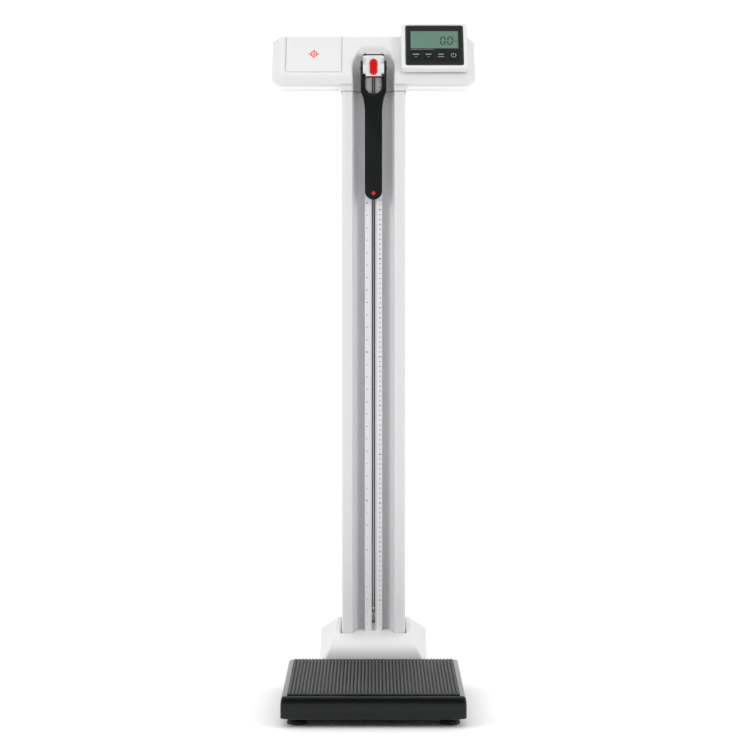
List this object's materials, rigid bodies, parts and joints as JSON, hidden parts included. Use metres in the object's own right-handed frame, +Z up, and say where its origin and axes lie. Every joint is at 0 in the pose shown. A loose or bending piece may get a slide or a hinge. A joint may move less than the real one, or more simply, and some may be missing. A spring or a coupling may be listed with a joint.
{
  "type": "digital column scale with height rod",
  "caption": "Digital column scale: ribbed platform, white column, T-shaped head with tilted display, and a telescopic height rod with sliding carriage and fold-out head flap.",
  "frame": {"origin": "on the floor, under the middle of the outline", "axes": "+Z up, +Y towards the back (column and castors), +X to the right of the person who reads the display"},
  "size_m": [0.414, 0.552, 1.3436],
  "materials": {
    "zinc_steel": "zinc plated",
    "black_shell": "semi-gloss moulded",
    "mat_rubber": "ribbed, matt",
    "cell_aluminium": "machined",
    "circuit_board": "solder resist",
    "black_rubber": "matt",
    "bright_screws": "bright",
    "white_plastic": "fine satin",
    "column_paint": "white powder coat on aluminium",
    "rail_aluminium": "white anodised",
    "scale_print": "printed film",
    "dark_plastic": "matt",
    "red_plastic": "gloss",
    "lever_plastic": "matt",
    "flap_plastic": "fine grain",
    "cell_wrap": "wrapped",
    "panel_film": "satin film",
    "lcd_glass": "lcd under a clear window"
  },
  "bodies": {
    "scale": {"chassis": "zinc_steel", "platform_plate": "zinc_steel", "platform_shell": "black_shell", "tread_mat": "mat_rubber", "load_cells": "cell_aluminium", "summing_board": "circuit_board", "castor_bracket": "zinc_steel", "castor_axle": "zinc_steel", "column_mount": "zinc_steel", "column_bolts": "bright_screws", "base_cover": "white_plastic", "channel_plug": "white_plastic", "column": "column_paint", "sensor_cable": "black_rubber", "rail": "rail_aluminium", "rail_end": "dark_plastic", "rail_screws": "bright_screws", "scale_foils": "scale_print", "head_front": "white_plastic", "head_back": "white_plastic", "head_frame": "zinc_steel", "head_screws": "bright_screws", "battery_tray": "dark_plastic", "batteries": "cell_wrap", "battery_contacts": "bright_screws", "power_socket": "dark_plastic", "display_back": "white_plastic", "display_front": "white_plastic", "display_panel": "panel_film", "lcd": "lcd_glass", "display_board": "circuit_board"},
    "rod": {"inner_rod": "rail_aluminium", "rod_scale": "scale_print", "rod_stop_screw": "bright_screws", "rod_buffer": "black_rubber", "rod_cap": "white_plastic"},
    "carriage": {"carriage": "white_plastic", "reading_line": "red_plastic", "button_spring": "bright_screws", "lever_pin": "bright_screws", "flap_pins": "red_plastic"},
    "button": {"red_button": "red_plastic"},
    "brake": {"brake_lever": "lever_plastic"},
    "head_flap": {"flap": "flap_plastic"},
    "lid": {"battery_lid": "white_plastic"},
    "wheel_left": {"castor_left": "black_rubber"},
    "wheel_right": {"castor_right": "black_rubber"},
    "foot_fl": {"foot_pad_fl": "black_rubber", "foot_screw_fl": "bright_screws"},
    "foot_fr": {"foot_pad_fr": "black_rubber", "foot_screw_fr": "bright_screws"},
    "foot_rl": {"foot_pad_rl": "black_rubber", "foot_screw_rl": "bright_screws"},
    "foot_rr": {"foot_pad_rr": "black_rubber", "foot_screw_rr": "bright_screws"},
    "key_1": {"key_1": "dark_plastic"},
    "key_2": {"key_2": "dark_plastic"},
    "key_3": {"key_3": "dark_plastic"},
    "key_4": {"key_4": "dark_plastic"}
  },
  "joints": [
    {"name": "rod_slide", "type": "slide", "parent": "scale", "child": "rod", "axis": [0, 0, 1], "range_m": [0, 0.832]},
    {"name": "carriage_slide", "type": "slide", "parent": "rod", "child": "carriage", "axis": [0, 0, 1], "range_m": [-0.872, 0]},
    {"name": "flap_hinge", "type": "hinge", "parent": "carriage", "child": "head_flap", "pos_m": [0, 0.144, 1.2475], "axis": [-1, 0, 0], "range_deg": [0, 90]},
    {"name": "button_press", "type": "slide", "parent": "carriage", "child": "button", "axis": [0, 1, 0], "range_m": [0, 0.0025], "stiffness_N_per_m": 1500, "deforming": ["button_spring"]},
    {"name": "brake_turn", "type": "hinge", "parent": "carriage", "child": "brake", "pos_m": [0, 0.15, 1.245], "axis": [-1, 0, 0], "range_deg": [0, 13.2]},
    {"name": "lid_lift", "type": "slide", "parent": "scale", "child": "lid", "axis": [0, -0.8387, 0.5446], "range_m": [0, 0.06]},
    {"name": "wheel_left_roll", "type": "hinge", "parent": "scale", "child": "wheel_left", "pos_m": [-0.045, 0.259, 0.021], "axis": [1, 0, 0], "continuous": true},
    {"name": "wheel_right_roll", "type": "hinge", "parent": "scale", "child": "wheel_right", "pos_m": [0.045, 0.259, 0.021], "axis": [1, 0, 0], "continuous": true},
    {"name": "foot_fl_turn", "type": "hinge", "parent": "scale", "child": "foot_fl", "pos_m": [-0.142, -0.232, 0.008], "axis": [0, 0, 1], "continuous": true},
    {"name": "foot_fr_turn", "type": "hinge", "parent": "scale", "child": "foot_fr", "pos_m": [0.142, -0.232, 0.008], "axis": [0, 0, 1], "continuous": true},
    {"name": "foot_rl_turn", "type": "hinge", "parent": "scale", "child": "foot_rl", "pos_m": [-0.088, 0.215, 0.008], "axis": [0, 0, 1], "continuous": true},
    {"name": "foot_rr_turn", "type": "hinge", "parent": "scale", "child": "foot_rr", "pos_m": [0.088, 0.215, 0.008], "axis": [0, 0, 1], "continuous": true},
    {"name": "key_1_press", "type": "slide", "parent": "scale", "child": "key_1", "axis": [0, 0.8387, -0.5446], "range_m": [0, 0.0006], "stiffness_N_per_m": 1500},
    {"name": "key_2_press", "type": "slide", "parent": "scale", "child": "key_2", "axis": [0, 0.8387, -0.5446], "range_m": [0, 0.0006], "stiffness_N_per_m": 1500},
    {"name": "key_3_press", "type": "slide", "parent": "scale", "child": "key_3", "axis": [0, 0.8387, -0.5446], "range_m": [0, 0.0006], "stiffness_N_per_m": 1500},
    {"name": "key_4_press", "type": "slide", "parent": "scale", "child": "key_4", "axis": [0, 0.8387, -0.5446], "range_m": [0, 0.0006], "stiffness_N_per_m": 1500}
  ],
  "couplings": [
    {"joint": "brake_turn", "follows": "button_press", "rad_per_m": 90.9}
  ]
}
